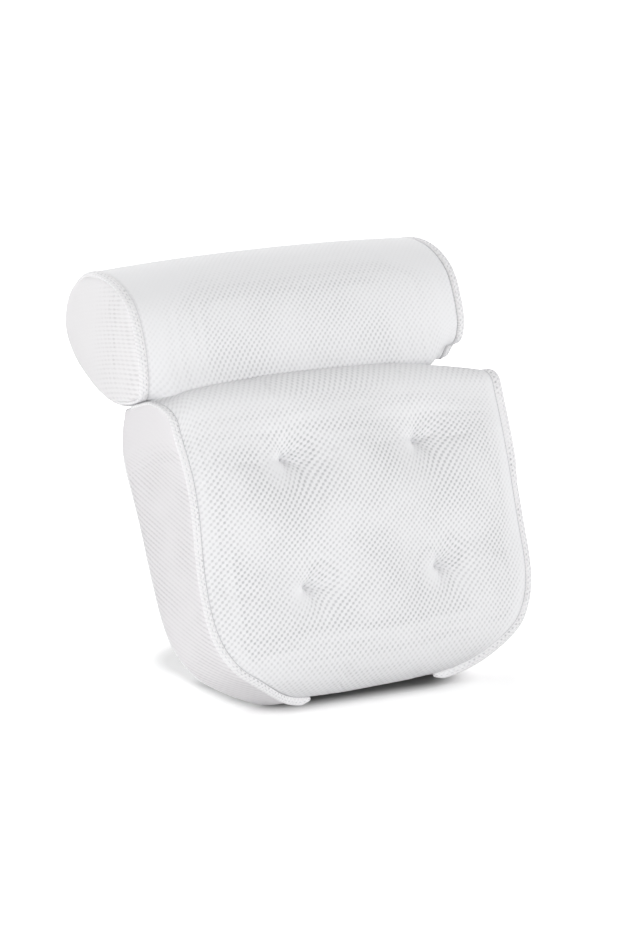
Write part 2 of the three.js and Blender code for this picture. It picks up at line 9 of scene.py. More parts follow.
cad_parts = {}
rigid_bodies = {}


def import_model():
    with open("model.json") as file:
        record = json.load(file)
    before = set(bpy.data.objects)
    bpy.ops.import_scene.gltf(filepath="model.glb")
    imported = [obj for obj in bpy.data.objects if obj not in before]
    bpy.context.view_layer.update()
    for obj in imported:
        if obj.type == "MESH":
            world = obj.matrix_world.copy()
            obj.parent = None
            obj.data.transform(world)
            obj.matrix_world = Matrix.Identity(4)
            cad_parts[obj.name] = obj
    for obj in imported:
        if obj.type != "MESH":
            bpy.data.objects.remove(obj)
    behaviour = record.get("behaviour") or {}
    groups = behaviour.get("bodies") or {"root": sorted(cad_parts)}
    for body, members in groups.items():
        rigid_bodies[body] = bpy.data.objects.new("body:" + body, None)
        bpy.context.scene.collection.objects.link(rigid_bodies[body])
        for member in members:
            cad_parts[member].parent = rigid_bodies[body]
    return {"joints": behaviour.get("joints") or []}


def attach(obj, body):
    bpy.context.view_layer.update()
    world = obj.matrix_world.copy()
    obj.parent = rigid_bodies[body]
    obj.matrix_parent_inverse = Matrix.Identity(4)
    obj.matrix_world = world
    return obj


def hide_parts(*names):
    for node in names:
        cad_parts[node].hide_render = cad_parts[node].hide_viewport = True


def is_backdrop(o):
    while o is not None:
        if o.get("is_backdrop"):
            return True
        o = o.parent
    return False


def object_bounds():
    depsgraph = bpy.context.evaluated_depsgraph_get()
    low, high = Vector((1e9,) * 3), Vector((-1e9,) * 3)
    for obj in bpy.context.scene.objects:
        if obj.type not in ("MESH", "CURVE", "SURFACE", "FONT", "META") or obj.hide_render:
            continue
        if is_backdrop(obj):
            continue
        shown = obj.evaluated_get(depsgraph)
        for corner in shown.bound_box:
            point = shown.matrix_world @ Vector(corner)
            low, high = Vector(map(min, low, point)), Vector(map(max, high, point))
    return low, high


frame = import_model()
cad_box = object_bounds()

# The view.
# The camera is far off with a long lens, left of the pillow and a little above it.
# Its place and turns are fitted to the seams, tufts and corners of the photographed pillow.
camera_place = (-2.14778, -2.89511, 0.79957)
camera_turn, camera_tip, camera_roll = math.radians(36.6865), math.radians(11.2916), math.radians(0.1584)
camera_lens, film_width, camera_reach = 243.586, 36, 50
level = Vector((math.sin(camera_turn), math.cos(camera_turn), 0))
toward = level * math.cos(camera_tip) + Vector((0, 0, -math.sin(camera_tip)))
turn = toward.to_track_quat("-Z", "Y").to_matrix()
camera = bpy.data.objects.new("camera", bpy.data.cameras.new("camera"))
camera.data.lens = camera_lens
camera.data.sensor_fit = "HORIZONTAL"
camera.data.sensor_width = film_width
camera.data.clip_end = camera_reach
camera.location = camera_place
camera.rotation_euler = (turn @ Matrix.Rotation(-camera_roll, 3, "Z")).to_euler()
bpy.context.scene.collection.objects.link(camera)
bpy.context.scene.camera = camera
bpy.context.scene.view_settings.view_transform = "Standard"

# Studio light.
# Soft square lamps stand round the pillow, and a dim room fills in their shadows.
# The camera sees that room as pure white.


def nodes_of(owner):
    """Empty node tree of a material or world, ready for new nodes."""
    owner.use_nodes = True
    owner.node_tree.nodes.clear()
    return owner.node_tree


def add(tree, kind, settings=None, **inputs):
    """Node of a tree with its settings. Inputs are values or other nodes' outputs, and _0 is the first one."""
    node = tree.nodes.new(kind)
    for name, value in (settings or {}).items():
        setattr(node, name, value)
    for name, value in inputs.items():
        socket = node.inputs[int(name[1:]) if name[0] == "_" else name.replace("_", " ")]
        if isinstance(value, bpy.types.NodeSocket):
            tree.links.new(value, socket)
        else:
            socket.default_value = value
    return node


def maths(tree, operation, *values):
    """Result of as many maths nodes as take the values in, from the first to the last."""
    inputs = {f"_{i}": value for i, value in enumerate(values[:2])}
    result = add(tree, "ShaderNodeMath", {"operation": operation}, **inputs).outputs[0]
    return maths(tree, operation, result, *values[2:]) if len(values) > 2 else result


def ranged(tree, value, low, high, start=0.0, end=1.0):
    """Value eased from start to end as it goes from low to high."""
    settings = {"interpolation_type": "SMOOTHSTEP"}
    inputs = {"Value": value, "From_Min": low, "From_Max": high, "To_Min": start, "To_Max": end}
    return add(tree, "ShaderNodeMapRange", settings, **inputs).outputs[0]


room_light, room_white = 0.25, 1.0
world = bpy.data.worlds.new("studio")
bpy.context.scene.world = world
tree = nodes_of(world)
path = add(tree, "ShaderNodeLightPath").outputs
seen = maths(tree, "MAXIMUM", path["Is Camera Ray"], path["Is Glossy Ray"], path["Is Transmission Ray"])
strength = ranged(tree, seen, 0.0, 1.0, room_light, room_white)
light = add(tree, "ShaderNodeBackground", None, Color=(1, 1, 1, 1), Strength=strength)
add(tree, "ShaderNodeOutputWorld", None, Surface=light.outputs[0])

for name, place, size, power in (
    ("key", (1.9, -1.7, 0.8), 1.2, 28),
    ("side", (-2.3, 0.3, 0.9), 1.6, 10),
    ("front", (-1.25, -1.75, 0.45), 0.5, 12.5),
    ("corner", (-2.0, -0.8, 0.15), 1.0, 9),
    ("top", (0.0, 1.6, 2.2), 1.6, 30),
    ("back", (0.4, 2.4, 1.2), 1.6, 20),
):
    lamp = bpy.data.objects.new(name, bpy.data.lights.new(name, "AREA"))
    lamp.data.size = size
    lamp.data.energy = power
    lamp.location = place
    lamp.rotation_euler = (-Vector(place)).to_track_quat("-Z", "Y").to_euler()
    bpy.context.scene.collection.objects.link(lamp)

# White floor.
# A matt floor under the pillow, lit up for the camera until it is as white as the room.
# A soft dark shadow is painted into its colour and its glow under the foot, and a fainter round one into its
# glow behind.
floor_half, puffed_foot, floor_white, floor_shade = 6.0, 0.0076, 0.86, 0.30
shade_place, shade_turn = (0.0047, -0.0275, 0), (0, 0, -0.119)
shade_half, shade_round = (0.0585, 0.0207, 1), 0.0507
# Painted shadow: the floor's colour goes from floor_shade under the foot to floor_white outside it.
painted_shadow_from, painted_shadow_to = -0.022, 0.012
# The camera glow stays low near the foot, which paints the shadow there darker.
glow_from, glow_to, near_glow = -0.020, 0.029, 0.45
far_from, far_to, far_glow = 0.035, 0.25, 0.50
# Painted round shadow behind the pillow, which dims the floor's glow.
back_place, back_round = (0.030, 0.062, 0), 0.115
back_shadow_from, back_shadow_to, painted_back_shadow = -0.010, 0.028, 0.50
floor_level = cad_box[0][2] + puffed_foot
corners = [(x * floor_half, y * floor_half, floor_level) for x, y in ((-1, -1), (1, -1), (1, 1), (-1, 1))]
floor_mesh = bpy.data.meshes.new("floor")
floor_mesh.from_pydata(corners, [], [(0, 1, 2, 3)])
floor = bpy.data.objects.new("floor", floor_mesh)
bpy.context.scene.collection.objects.link(floor)
floor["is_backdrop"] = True


def distance(tree, spot, place, turned, steps):
    """Length of the way from a place to a spot, after steps of vector maths along the place's own axes."""
    settings = {"vector_type": "TEXTURE"}
    away = add(tree, "ShaderNodeMapping", settings, Vector=spot, Location=place, Rotation=turned).outputs[0]
    for operation, other in steps:
        away = add(tree, "ShaderNodeVectorMath", {"operation": operation}, _0=away, _1=other).outputs[0]
    return add(tree, "ShaderNodeVectorMath", {"operation": "LENGTH"}, _0=away).outputs["Value"]


paint = bpy.data.materials.new("white_floor")
tree = nodes_of(paint)
path = add(tree, "ShaderNodeLightPath").outputs
spot = add(tree, "ShaderNodeNewGeometry").outputs["Position"]
none, level_only = (0, 0, 0), (1, 1, 0)
outside = (("ABSOLUTE", none), ("SUBTRACT", shade_half), ("MAXIMUM", none))
away = maths(tree, "SUBTRACT", distance(tree, spot, shade_place, shade_turn, outside), shade_round)
behind = distance(tree, spot, back_place, none, (("MULTIPLY", level_only),))
behind = maths(tree, "SUBTRACT", behind, back_round)
# Painted contact shadow in the floor's colour under the foot.
white = ranged(tree, away, painted_shadow_from, painted_shadow_to, floor_shade, floor_white)
matt = add(tree, "ShaderNodeBsdfDiffuse", None, Color=white)
# The glow is dimmed near the foot and in the round zone behind, as painted shadow.
shine = ranged(tree, away, glow_from, glow_to, 0.0, near_glow)
shine = maths(tree, "ADD", shine, ranged(tree, away, far_from, far_to, 0.0, far_glow))
shine = maths(tree, "SUBTRACT", shine, ranged(tree, behind, back_shadow_from, back_shadow_to, painted_back_shadow, 0.0))
shine = maths(tree, "MULTIPLY", path["Is Camera Ray"], maths(tree, "MAXIMUM", shine, 0.0))
glow = add(tree, "ShaderNodeEmission", None, Color=(1, 1, 1, 1), Strength=shine)
both = add(tree, "ShaderNodeAddShader", None, _0=matt.outputs[0], _1=glow.outputs[0])
add(tree, "ShaderNodeOutputMaterial", None, Surface=both.outputs[0])
floor_mesh.materials.append(paint)

# Panel front cover.
# White spacer mesh in one piece: tongue under the foot, face, rolled top edge and top down to the fold.
# Both sides are sewn to the gussets, and four tufts draw the stuffed face in.
recline = math.radians(16.8)
panel_width, panel_height, corner_radius, side_draw_in = 0.340, 0.269, 0.103, 0.0025
foot_depth, foot_curl_height, seam_bow, top_edge_radius = 0.025, 0.040, 0.005, 0.015
back_foot_depth, hump_rise, back_flat_depth = 0.064, 0.066, 0.091
hump_reach, hump_run_in, back_top_drop = 0.033, (0.012, 0.016), 0.003
face_crown, top_crown, foot_crown = 0.018, 0.006, 0.002
crown_full_share, crown_sink_share, side_power, top_power = 0.42, 0.6, 3.0, 3.0
tuft_side, tuft_low, tuft_drop = 0.071, 0.092, 0.066
fold_depth, fold_height, fold_gap, fold_end_gap = 0.068, 0.2723, 0.0045, 0.0015
corner_fullness, corner_low, corner_mid, corner_high = 0.0065, 0.012, 0.036, 0.105
sag, sag_start, sag_run, sag_power = 0.0125, -0.020, 0.190, 1.7
sag_low, sag_high, sag_near, sag_far = 0.185, 0.262, 0.050, 0.067
left_sag, left_sag_start, left_sag_run, left_sag_far = 0.0105, 0.146, 0.024, 0.034
half_width = panel_width / 2
back_flat_height = panel_height - hump_rise
tuft_high = panel_height - tuft_drop
top_rise = panel_height - top_edge_radius
fold = Vector(next(joint for joint in frame["joints"] if joint["name"] == "head_roll_fold")["pos_m"])


def placed(points):
    """Points of the pillow in the frame, from their places across, through and up the leaning panel."""
    deep, high = points[..., 1] - fold_depth, points[..., 2] - fold_height
    y = fold.y + deep * math.cos(recline) + high * math.sin(recline)
    z = fold.z - deep * math.sin(recline) + high * math.cos(recline)
    return np.stack([points[..., 0], y, z], -1)


def smooth(low, high, value):
    """Share of the way from low to high, eased at both ends."""
    share = np.clip((value - low) / (high - low), 0, 1)
    return share * share * (3 - 2 * share)


def settled(points):
    """Points of the panel with its top corners sagging a little, the right one along most of its edge."""
    points = np.array(points, float)
    run = np.clip((points[..., 0] - sag_start) / sag_run, 0, None) ** sag_power
    high = smooth(sag_low, sag_high, points[..., 2])
    points[..., 2] -= sag * run * high * (1 - smooth(sag_near, sag_far, points[..., 1]))
    run = np.clip((-points[..., 0] - left_sag_start) / left_sag_run, 0, 1) ** 2
    points[..., 2] -= left_sag * run * high * (1 - smooth(0, left_sag_far, points[..., 1]))
    return points


def front_seam_depth(height):
    """Depth of the front seam, which curls back at the foot and bows forward above the corners."""
    curl = max(0, 1 - height / foot_curl_height)
    bow = max(0, (height - corner_radius) / (panel_height - corner_radius))
    return foot_depth * curl**3 - seam_bow * math.sin(math.pi * bow) ** 2


def back_depth(height):
    """Depth of the flat back."""
    return back_foot_depth + (back_flat_depth - back_foot_depth) * height / back_flat_height


def half_width_at(height):
    """Half width of the panel, round and full at the foot's corners and drawn in at the sides."""
    rise = (height - corner_radius) / (panel_height - corner_radius)
    if rise >= 0:
        return half_width - side_draw_in * math.sin(math.pi * min(rise, 1)) ** 2
    full = corner_fullness * smooth(corner_low, corner_mid, height)
    full = full * (1 - smooth(corner_mid, corner_high, height))
    return half_width - corner_radius + full + math.sqrt(corner_radius**2 - (corner_radius - height) ** 2)


def hump(share):
    """Point of the back from its flat part over the hump to the fold, as depth and height."""
    lean = np.array([back_flat_depth - back_foot_depth, back_flat_height])
    start = np.array([back_flat_depth, back_flat_height])
    end = np.array([fold_depth + fold_gap, panel_height - back_top_drop])
    rising = start + lean / np.hypot(*lean) * hump_reach
    closing = end + (hump_run_in[0], -hump_run_in[1])
    left = 1 - share
    return left**3 * start + 3 * left**2 * share * rising + 3 * left * share**2 * closing + share**3 * end


gather = 0.75


def gathered(steps, start, end):
    """Shares from 0 to 1 that lie closer together at the start, the end or both."""
    share = np.linspace(0, 1, steps + 1)
    if start and end:
        return share - gather * np.sin(2 * math.pi * share) / (2 * math.pi)
    if end:
        return share + gather * np.sin(math.pi * share) / math.pi
    return share - gather * np.sin(math.pi * share) / math.pi


def run_length(line):
    """Length along a line of points, up to each of them."""
    return np.concatenate([[0], np.cumsum(np.linalg.norm(np.diff(line, axis=0), axis=1))])


def left_of(run):
    """Unit vectors to the left of those given, in a plane."""
    return np.stack([-run[:, 1], run[:, 0]], 1) / np.hypot(*run.T)[:, None]


def panel_rows(corner_steps, side_steps, edge_steps, bend_steps, top_steps):
    """Rows of the panel from the foot to the fold: its seam points, half widths, outward ways and turns."""
    last_turn = math.asin((tuft_low - corner_radius) / corner_radius)
    turns = [-math.pi / 2 + (last_turn + math.pi / 2) * share for share in gathered(corner_steps, False, True)]
    heights = [corner_radius * (1 + math.sin(turn)) for turn in turns]
    heights += [tuft_low + (tuft_high - tuft_low) * share for share in gathered(side_steps, True, True)[1:]]
    back = [(back_depth(height), height) for height in heights]
    heights += [tuft_high + (top_rise - tuft_high) * share for share in gathered(edge_steps, True, False)[1:]]
    front = [(front_seam_depth(height), height) for height in heights]
    bend_depth = front_seam_depth(top_rise) + top_edge_radius
    for i in range(1, bend_steps + 1):
        angle = math.pi / 2 * i / bend_steps
        deep = bend_depth - top_edge_radius * math.cos(angle)
        front.append((deep, top_rise + top_edge_radius * math.sin(angle)))
    for i in range(1, top_steps + 1):
        front.append((bend_depth + (fold_depth - fold_end_gap - bend_depth) * i / top_steps, panel_height))
    hump_steps = edge_steps + bend_steps + top_steps
    back += [tuple(hump(i / hump_steps)) for i in range(1, hump_steps + 1)]
    front, back = np.array(front), np.array(back)
    return {
        "front": front,
        "back": back,
        "out": left_of(np.gradient(front, axis=0)),
        "back_out": -left_of(np.gradient(back, axis=0)),
        "turn": np.array(turns + [0] * (len(front) - len(turns))),
        "half": np.array([half_width_at(height) for _, height in front]),
        "back_half": np.array([half_width_at(height) for _, height in back]),
        "length": run_length(front),
        "back_length": run_length(back),
        "bend": corner_steps + side_steps + edge_steps,
        "bend_steps": bend_steps,
    }


def crown_at(rows, row):
    """Height of the crown along the middle of the cover."""
    if row <= rows["bend"]:
        rise = rows["front"][row][1] / top_rise
        up = math.sin(math.pi / 2 * min(1, rise / crown_full_share))
        low = foot_crown + (face_crown - foot_crown) * up
        return low + (top_crown - low) * smooth(crown_sink_share, 1, rise)
    first = rows["bend"] + rows["bend_steps"]
    run = max(0, row - first) / (len(rows["front"]) - 1 - first)
    return top_crown * (1 - run**top_power)


def swelled(x, seam, out, swell):
    """Row of points across the cloth, pushed out from the depth and height of its seam."""
    return np.stack([x, seam[0] + out[0] * swell, seam[1] + out[1] * swell], 1)


def grid_faces(rows, columns, close_rows=False, close_columns=False, first=0):
    """Faces between points numbered row by row from first, with the last joined to the first if closed."""
    index = first + np.arange(rows * columns).reshape(rows, columns)
    if close_rows:
        index = np.vstack([index, index[:1]])
    if close_columns:
        index = np.hstack([index, index[:, :1]])
    faces = np.stack([index[:-1, :-1], index[:-1, 1:], index[1:, 1:], index[1:, :-1]], -1)
    return faces.reshape(-1, 4).tolist()


def cloth_object(name, points, faces, weave):
    """Smooth object of points in the frame, with their places on the flat cloth."""
    mesh = bpy.data.meshes.new(name)
    mesh.from_pydata(np.asarray(points).tolist(), [], faces)
    flat = mesh.attributes.new("cloth", "FLOAT_VECTOR", "POINT")
    spread = np.zeros((len(points), 3), np.float32)
    spread[:, : weave.shape[1]] = weave
    flat.data.foreach_set("vector", spread.ravel())
    mesh.polygons.foreach_set("use_smooth", [True] * len(mesh.polygons))
    piece = bpy.data.objects.new(name, mesh)
    bpy.context.scene.collection.objects.link(piece)
    return piece


def cloth_mesh(name, points, weave, flip=False, close_rows=False, close_columns=False):
    """Object of a grid of cloth; each point keeps its place on the flat cloth, for the weave."""
    points, weave = np.array(points), np.array(weave)
    if flip:
        points, weave = points[:, ::-1], weave[:, ::-1]
    faces = grid_faces(*points.shape[:2], close_rows, close_columns)
    return cloth_object(name, placed(points).reshape(-1, 3), faces, weave.reshape(-1, weave.shape[-1]))


def finish_shape(piece):
    """Makes a piece's modifiers part of its mesh."""
    shaped = bpy.data.meshes.new_from_object(piece.evaluated_get(bpy.context.evaluated_depsgraph_get()))
    piece.modifiers.clear()
    old, piece.data = piece.data, shaped
    bpy.data.meshes.remove(old)
    shaped.polygons.foreach_set("use_smooth", [True] * len(shaped.polygons))


cover_thickness = 0.0022


def thicken(piece, finer):
    """Gives cloth rounder curves, finer times over, and a thickness behind its outer face."""
    if finer:
        subdivide = piece.modifiers.new("finer", "SUBSURF")
        subdivide.levels = subdivide.render_levels = finer
    thick = piece.modifiers.new("thick", "SOLIDIFY")
    thick.thickness = cover_thickness
    thick.offset = -1
    finish_shape(piece)


def blow_out(piece, pins, slack, pressure, frames):
    """Blows stuffed cloth out from inside, while it is held along its seams and at its tufts."""
    group = piece.vertex_groups.new(name="sewn")
    group.add([int(i) for i in pins], 1.0, "REPLACE")
    cloth = piece.modifiers.new("stuffing", "CLOTH")
    settings = cloth.settings
    settings.quality = 6
    settings.mass = 0.15
    settings.air_damping = 3
    settings.tension_stiffness = settings.compression_stiffness = 18
    settings.shear_stiffness = 6
    settings.bending_stiffness = 1.5
    settings.tension_damping = settings.compression_damping = 12
    settings.shear_damping = 8
    settings.vertex_group_mass = "sewn"
    settings.shrink_min = -slack
    settings.use_pressure = True
    settings.uniform_pressure_force = pressure
    settings.effector_weights.gravity = 0
    cloth.point_cache.frame_start, cloth.point_cache.frame_end = 1, frames
    for at in range(1, frames + 1):
        bpy.context.scene.frame_set(at)
    finish_shape(piece)
    bpy.context.scene.frame_set(1)


pull_depth, pull_reach, pull_power = 0.0130, 0.0165, 1.1
tack_depth, tack_reach, tack_power = 0.0070, 0.0034, 1.4
crease_count, crease_depth, crease_place, crease_reach, crease_shift = 5, 0.0012, 0.0085, 0.0055, 20
valley_depth, valley_reach = 0.0022, 0.024


def tuft_pull(x, height):
    """How far the tufts draw the face in at a place on it: pit, tack, small creases and a valley between."""
    pull = np.zeros_like(x)
    for side in (-1, 1):
        for level in (tuft_low, tuft_high):
            away = np.hypot(x - side * tuft_side, height - level)
            pull += pull_depth * np.exp(-((away / pull_reach) ** pull_power))
            pull += tack_depth * np.exp(-((away / tack_reach) ** tack_power))
            turned = np.arctan2(height - level, x - side * tuft_side)
            creased = np.exp(-(((away - crease_place) / crease_reach) ** 2))
            pull += crease_depth * np.cos(crease_count * turned + side + crease_shift * level) * creased
        between = smooth(tuft_low - valley_reach, tuft_low, height)
        between *= 1 - smooth(tuft_high, tuft_high + valley_reach, height)
        pull += valley_depth * between * np.exp(-(((x - side * tuft_side) / valley_reach) ** 2))
    return pull


left_tight, right_tight, edge_from, edge_to = 0.35, 0.8, 0.84, 0.98
top_tight, top_band, foot_tight, foot_band, tongue_tight = 0.42, 0.050, 0.50, 0.060, 0.6
# Painted light and shade round each tuft: holes closed on the lower left make it brighter, holes opened on the
# upper right make it darker.
bright_side, dark_side, side_reach, open_gain = (-0.011, -0.005), (0.011, 0.006), 0.012, 0.3
draw_share, draw_reach = 0.5, 0.019
tufts = [(side * tuft_side, level) for side in (-1, 1) for level in (tuft_low, tuft_high)]


def tightness(x, shares, height):
    """How far the cloth's holes are closed: tight at its edges; round a tuft closed on one side and open on the
    other, partly the cloth's stretch and partly painted light and shade.
    """
    tight = np.where(shares > 0, right_tight, left_tight) * smooth(edge_from, edge_to, np.abs(shares))
    tight = np.maximum(tight, top_tight * smooth(top_rise - top_band, top_rise, height))
    tight = np.maximum(tight, foot_tight * (1 - smooth(0, foot_band, height)))
    for tuft_x, level in tufts:
        for (aside, above), gain in ((bright_side, 1.0), (dark_side, -open_gain)):
            away = np.hypot(x - tuft_x - aside, height - level - above)
            tight = tight + gain * np.exp(-((away / side_reach) ** 2))
    return np.clip(tight, -open_gain, 1)


def drawn_together(x, height, along):
    """Place on the flat cloth of points of the face; the weave is drawn together round the tufts."""
    across, along = x.copy(), np.full_like(x, along)
    for tuft_x, level in tufts:
        aside, above = x - tuft_x, height - level
        drawn = draw_share * np.exp(-((np.hypot(aside, above) / draw_reach) ** 2))
        across += aside * drawn
        along += above * drawn
    return across, along


corner_steps, side_steps, edge_steps, bend_steps, top_steps, tongue_steps = 26, 24, 11, 6, 10, 8
tuft_columns, side_columns, seam_groove, seam_edge_share = 15, 22, 0.0009, 0.9915
rows = panel_rows(corner_steps, side_steps, edge_steps, bend_steps, top_steps)
last_row = len(rows["front"]) - 1
tuft_share = tuft_side / half_width
inner = list(tuft_share * gathered(tuft_columns, False, True))
outer = list(tuft_share + (seam_edge_share - tuft_share) * gathered(side_columns, True, True))[1:] + [1.0]
shares = np.array([-share for share in reversed(inner[1:] + outer)] + inner + outer)
groove = seam_groove * (np.abs(shares) == 1)
tongue = rows["back"][0][0] - rows["front"][0][0]
cover, cover_weave = [], []
for i in range(tongue_steps, 0, -1):
    share = i / tongue_steps
    x = shares * (rows["half"][0] + (rows["back_half"][0] - rows["half"][0]) * share)
    cover.append(np.stack([x, np.full_like(x, rows["front"][0][0] + tongue * share), np.zeros_like(x)], 1))
    cover_weave.append(np.stack([x, np.full_like(x, -share * tongue), np.full_like(x, tongue_tight)], 1))
for row in range(last_row + 1):
    x, front = shares * rows["half"][row], rows["front"][row]
    swell = crown_at(rows, row) * (1 - np.abs(shares) ** side_power) - groove
    if row < rows["bend"]:
        swell = swell - tuft_pull(x, front[1])
    cover.append(swelled(x, front, rows["out"][row], swell))
    across, along = drawn_together(x, front[1], rows["length"][row])
    cover_weave.append(np.stack([across, along, tightness(x, shares, front[1])], 1))
cover = settled(cover)
front_cover = cloth_mesh("panel_face", cover, cover_weave)
columns, low_row = len(shares), tongue_steps + corner_steps
tuft_points = {}
for height, row in ((tuft_low, low_row), (tuft_high, low_row + side_steps)):
    for side in (-1, 1):
        tuft_points[row * columns + columns // 2 + side * tuft_columns] = (side, height)
pins = [r * columns + c for r in range(len(cover)) for c in (0, 1, columns - 2, columns - 1)]
pins += list(range((tongue_steps + 1) * columns))
pins += list(range((len(cover) - 1) * columns, len(cover) * columns))
blow_out(front_cover, pins + list(tuft_points), slack=0.004, pressure=5, frames=20)
thicken(front_cover, finer=1)


def cloth_nodes(name, across, along, worn_scale):
    """New material, its tree, the parts of a place on the flat cloth, its angles in the weave, and its wear."""
    material = bpy.data.materials.new(name)
    tree = nodes_of(material)
    cloth = add(tree, "ShaderNodeAttribute", {"attribute_name": "cloth"}).outputs["Vector"]
    parts = add(tree, "ShaderNodeSeparateXYZ", None, Vector=cloth).outputs
    x = maths(tree, "MULTIPLY", parts["X"], 2 * math.pi / across)
    y = maths(tree, "MULTIPLY", parts["Y"], 2 * math.pi / along)
    worn = add(tree, "ShaderNodeTexNoise", None, Vector=cloth, Scale=worn_scale, Detail=3).outputs["Fac"]
    return material, tree, parts, x, y, worn


def mixed(tree, share, first, second):
    """Colour between two others."""
    return add(tree, "ShaderNodeMix", {"data_type": "RGBA"}, Factor=share, _6=first, _7=second).outputs[2]


def surface(tree, **inputs):
    """Gives a material its shader, with the inputs named."""
    skin = add(tree, "ShaderNodeBsdfPrincipled", None, **inputs)
    add(tree, "ShaderNodeOutputMaterial", None, Surface=skin.outputs[0])


hollow_share, cloth_sheen = -0.5, 0.12


def cloth_surface(tree, color, waves, shown, strength, depth, roughness):
    """Gives cloth its colour, its sheen and the relief of its waves where they show."""
    height = maths(tree, "MULTIPLY", waves, maths(tree, "MULTIPLY", shown, hollow_share))
    bump = add(tree, "ShaderNodeBump", None, Strength=strength, Distance=depth, Height=height)
    surface(tree, Base_Color=color, Roughness=roughness, Normal=bump.outputs[0], Sheen_Weight=cloth_sheen)


rising_share, falling_share, hole_range = 1.18, 0.82, (-0.7, 2.0)
mesh_worn, mesh_worn_range = 14, (0.36, 0.64, 0.55, 1.0)


def open_mesh(name, thread, hole, across, along, strength):
    """Spacer mesh with small holes in diagonal rows; its ribs lean one way more than the other."""
    material, tree, parts, x, y, worn = cloth_nodes(name, across, along, mesh_worn)
    falling = maths(tree, "COSINE", maths(tree, "ADD", x, y))
    rising = maths(tree, "COSINE", maths(tree, "SUBTRACT", x, y))
    falling = maths(tree, "MULTIPLY", falling, falling_share)
    waves = maths(tree, "ADD", maths(tree, "MULTIPLY", rising, rising_share), falling)
    loose = maths(tree, "SUBTRACT", 1.0, parts["Z"])
    opened = maths(tree, "MULTIPLY", ranged(tree, worn, *mesh_worn_range), loose, strength)
    color = mixed(tree, maths(tree, "MULTIPLY", ranged(tree, waves, *hole_range), opened), thread, hole)
    cloth_surface(tree, color, waves, opened, strength=0.5, depth=0.0007, roughness=0.88)
    return material


mesh_white, mesh_hole = (0.90, 0.90, 0.912, 1), (0.46, 0.46, 0.475, 1)
mesh_pitch = (0.0058, 0.0055)
open_cloth = open_mesh("open_mesh", mesh_white, mesh_hole, *mesh_pitch, strength=0.75)
front_cover.data.materials.append(open_cloth)
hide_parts("panel_front_cover", "panel_filling")
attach(front_cover, "panel")

# Panel back cover.
# The same spacer mesh, flat where it lies against the bath and curved over the hump to the fold.
# It is sewn to the gussets and to the tongue of the front cover.
back_columns, back_crown, back_crown_half = 34, 0.0025, 0.066
back_shares = np.linspace(-1, 1, back_columns + 1)
back, back_weave = [], []
for row in range(last_row + 1):
    x = back_shares * rows["back_half"][row]
    full = math.sin(math.pi * row / last_row)
    swell = back_crown * full * np.clip(1 - (x / back_crown_half) ** 2, 0, 1) ** 2
    back.append(swelled(x, rows["back"][row], rows["back_out"][row], swell))
    back_weave.append(np.stack([x, np.full_like(x, rows["back_length"][row])], 1))
back_cover = cloth_mesh("panel_back", settled(back), back_weave, flip=True)
thicken(back_cover, finer=0)
back_cover.data.materials.append(open_cloth)
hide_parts("panel_back_cover")
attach(back_cover, "panel")

# Panel gussets.
# A band of finely ribbed spacer mesh down each side, from the foot's corner to the fold.
# The stuffing puffs it out between its welts, and it creases below the hump where the back bends.
gusset_columns, gusset_edge, gusset_rise, gusset_front_run, gusset_back_run = 22, 0.0015, 0.0064, 0.0022, 0.006
dent_height, dent_slope, dent_reach, dent_depth, dent_from, dent_to = 0.200, 0.014, 0.018, 0.0035, 0.1, 0.7
puff_height, puff_reach, puff_depth, foot_fade = 0.238, 0.026, 0.0030, 3
hump_tight, hump_tight_start, hump_tight_lean = 0.95, 0.4, 0.15
rib_worn, rib_worn_range, rib_range = 20, (0.35, 0.65, 0.3, 1.0), (-0.4, 1.3)
# The darker mottled row along the welts is partly stitch holes and partly painted shade.
needle_hole_and_shade, needle_wander, needle_beat = (0.50, 0.495, 0.51, 1), 0.005, (-0.2, 0.95)
needle_worn_range = (0.40, 0.60, 0.15, 0.9)


def ribbed(name, thread, groove, pitch, slant, cut_share, cut_across, cut_along, depth, needles=None):
    """Spacer mesh with fine leaning ribs and weaker waves that cut them; needles is a row of stitch holes,
    whose darker mottled line is partly painted shade.
    """
    material, tree, parts, x, y, worn = cloth_nodes(name, pitch, pitch, rib_worn)
    rib = maths(tree, "COSINE", maths(tree, "SUBTRACT", y, maths(tree, "MULTIPLY", x, slant)))
    cut = maths(tree, "ADD", maths(tree, "MULTIPLY", x, cut_across), maths(tree, "MULTIPLY", y, cut_along))
    waves = maths(tree, "ADD", rib, maths(tree, "MULTIPLY", maths(tree, "COSINE", cut), cut_share))
    loose = maths(tree, "SUBTRACT", 1.0, parts["Z"])
    shown = maths(tree, "MULTIPLY", ranged(tree, worn, *rib_worn_range), loose)
    color = mixed(tree, maths(tree, "MULTIPLY", ranged(tree, waves, *rib_range), shown), thread, groove)
    # Darker row of stitch holes, partly painted shade along the welt.
    if needles:
        row, half_row, step = needles
        wander = maths(tree, "MULTIPLY", maths(tree, "SUBTRACT", worn, 0.5), needle_wander)
        aside = maths(tree, "SUBTRACT", maths(tree, "ADD", parts["X"], wander), row)
        near = ranged(tree, maths(tree, "ABSOLUTE", aside), half_row, 0.0)
        beat = maths(tree, "COSINE", maths(tree, "MULTIPLY", parts["Y"], 2 * math.pi / step))
        beat = ranged(tree, beat, *needle_beat)
        pricked = maths(tree, "MULTIPLY", near, beat, ranged(tree, worn, *needle_worn_range))
        color = mixed(tree, pricked, color, needle_hole_and_shade)
    cloth_surface(tree, color, waves, shown, strength=0.4, depth=depth, roughness=0.9)
    return material


